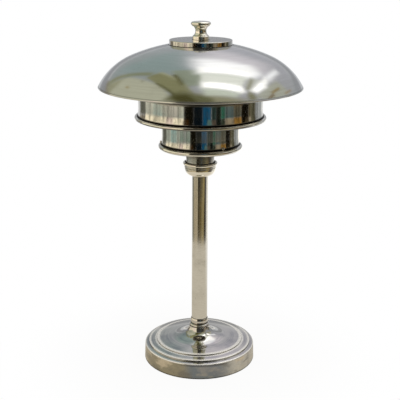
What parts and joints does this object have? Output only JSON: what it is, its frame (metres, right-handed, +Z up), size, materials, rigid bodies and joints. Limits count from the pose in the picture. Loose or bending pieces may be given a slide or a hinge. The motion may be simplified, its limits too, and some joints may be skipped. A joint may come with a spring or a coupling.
{
  "type": "table lamp",
  "caption": "Table lamp: a domed shade over stepped drum reflectors, on a slim stem with a round weighted base. The knob unscrews, the dome lifts off and the bulb unscrews.",
  "frame": {"origin": "centre of the lamp's footprint on the table, under the felt", "axes": "+Z up along the stem, +Y to the back where the cable inlet is, +X to the right seen from the front"},
  "size_m": [0.3, 0.3, 0.525],
  "materials": {
    "felt": "green-black wool felt",
    "weight": "plain turned",
    "base": "nickel plated, satin with worn patina",
    "moulded_black": "moulded black",
    "plated_steel": "zinc plated steel",
    "satin_nickel": "satin nickel with light patina",
    "bright_nickel": "bright nickel",
    "moulded_white": "moulded off-white",
    "brass": "plain brass",
    "bulb_cap": "rolled thread",
    "bulb_glass": "frosted"
  },
  "bodies": {
    "stand": {"felt_pad": "felt", "base_weight": "weight", "base_shell": "base", "cable_bush": "moulded_black", "clamp_nut": "plated_steel", "clamp_washer": "plated_steel", "lamp_pipe": "plated_steel", "stem_collar": "satin_nickel", "stem_tube": "satin_nickel", "neck_cup": "satin_nickel", "holder_base": "plated_steel", "holder_lock_nut": "plated_steel", "holder_sleeve": "satin_nickel", "holder_body": "moulded_white", "holder_screw_shell": "brass", "holder_contact": "brass", "shade_ring": "plated_steel", "lower_spider": "plated_steel", "lower_drum": "bright_nickel", "lower_drum_screws": "bright_nickel", "support_rods": "plated_steel", "lower_rod_nuts": "plated_steel", "upper_spider": "plated_steel", "middle_rod_nuts": "plated_steel", "upper_drum": "bright_nickel", "upper_drum_screws": "bright_nickel", "top_bridge": "plated_steel", "top_rod_nuts": "plated_steel", "finial_stud": "plated_steel", "stud_nuts": "plated_steel", "seat_washer": "plated_steel"},
    "shade": {"dome": "satin_nickel", "cap_disc": "satin_nickel"},
    "knob_carrier": {"finial_insert": "brass"},
    "knob": {"finial": "satin_nickel"},
    "bulb_carrier": {"bulb_contact": "brass"},
    "bulb": {"bulb_insulator": "moulded_black", "bulb_cap": "bulb_cap", "bulb_glass": "bulb_glass"}
  },
  "joints": [
    {"name": "shade_lift", "type": "slide", "parent": "stand", "child": "shade", "axis": [0, 0, 1], "range_m": [0, 0.1]},
    {"name": "knob_rise", "type": "slide", "parent": "shade", "child": "knob_carrier", "axis": [0, 0, 1], "range_m": [0, 0.0088]},
    {"name": "knob_turn", "type": "hinge", "parent": "knob_carrier", "child": "knob", "pos_m": [0, 0, 0.49667], "axis": [0, 0, 1], "range_deg": [0, 2520]},
    {"name": "bulb_rise", "type": "slide", "parent": "stand", "child": "bulb_carrier", "axis": [0, 0, 1], "range_m": [0, 0.0182]},
    {"name": "bulb_turn", "type": "hinge", "parent": "bulb_carrier", "child": "bulb", "pos_m": [0, 0, 0.33937], "axis": [0, 0, 1], "range_deg": [0, 1800]}
  ],
  "couplings": [
    {"joint": "knob_rise", "follows": "knob_turn", "m_per_rad": 0.00019894},
    {"joint": "bulb_rise", "follows": "bulb_turn", "m_per_rad": 0.00057757}
  ]
}
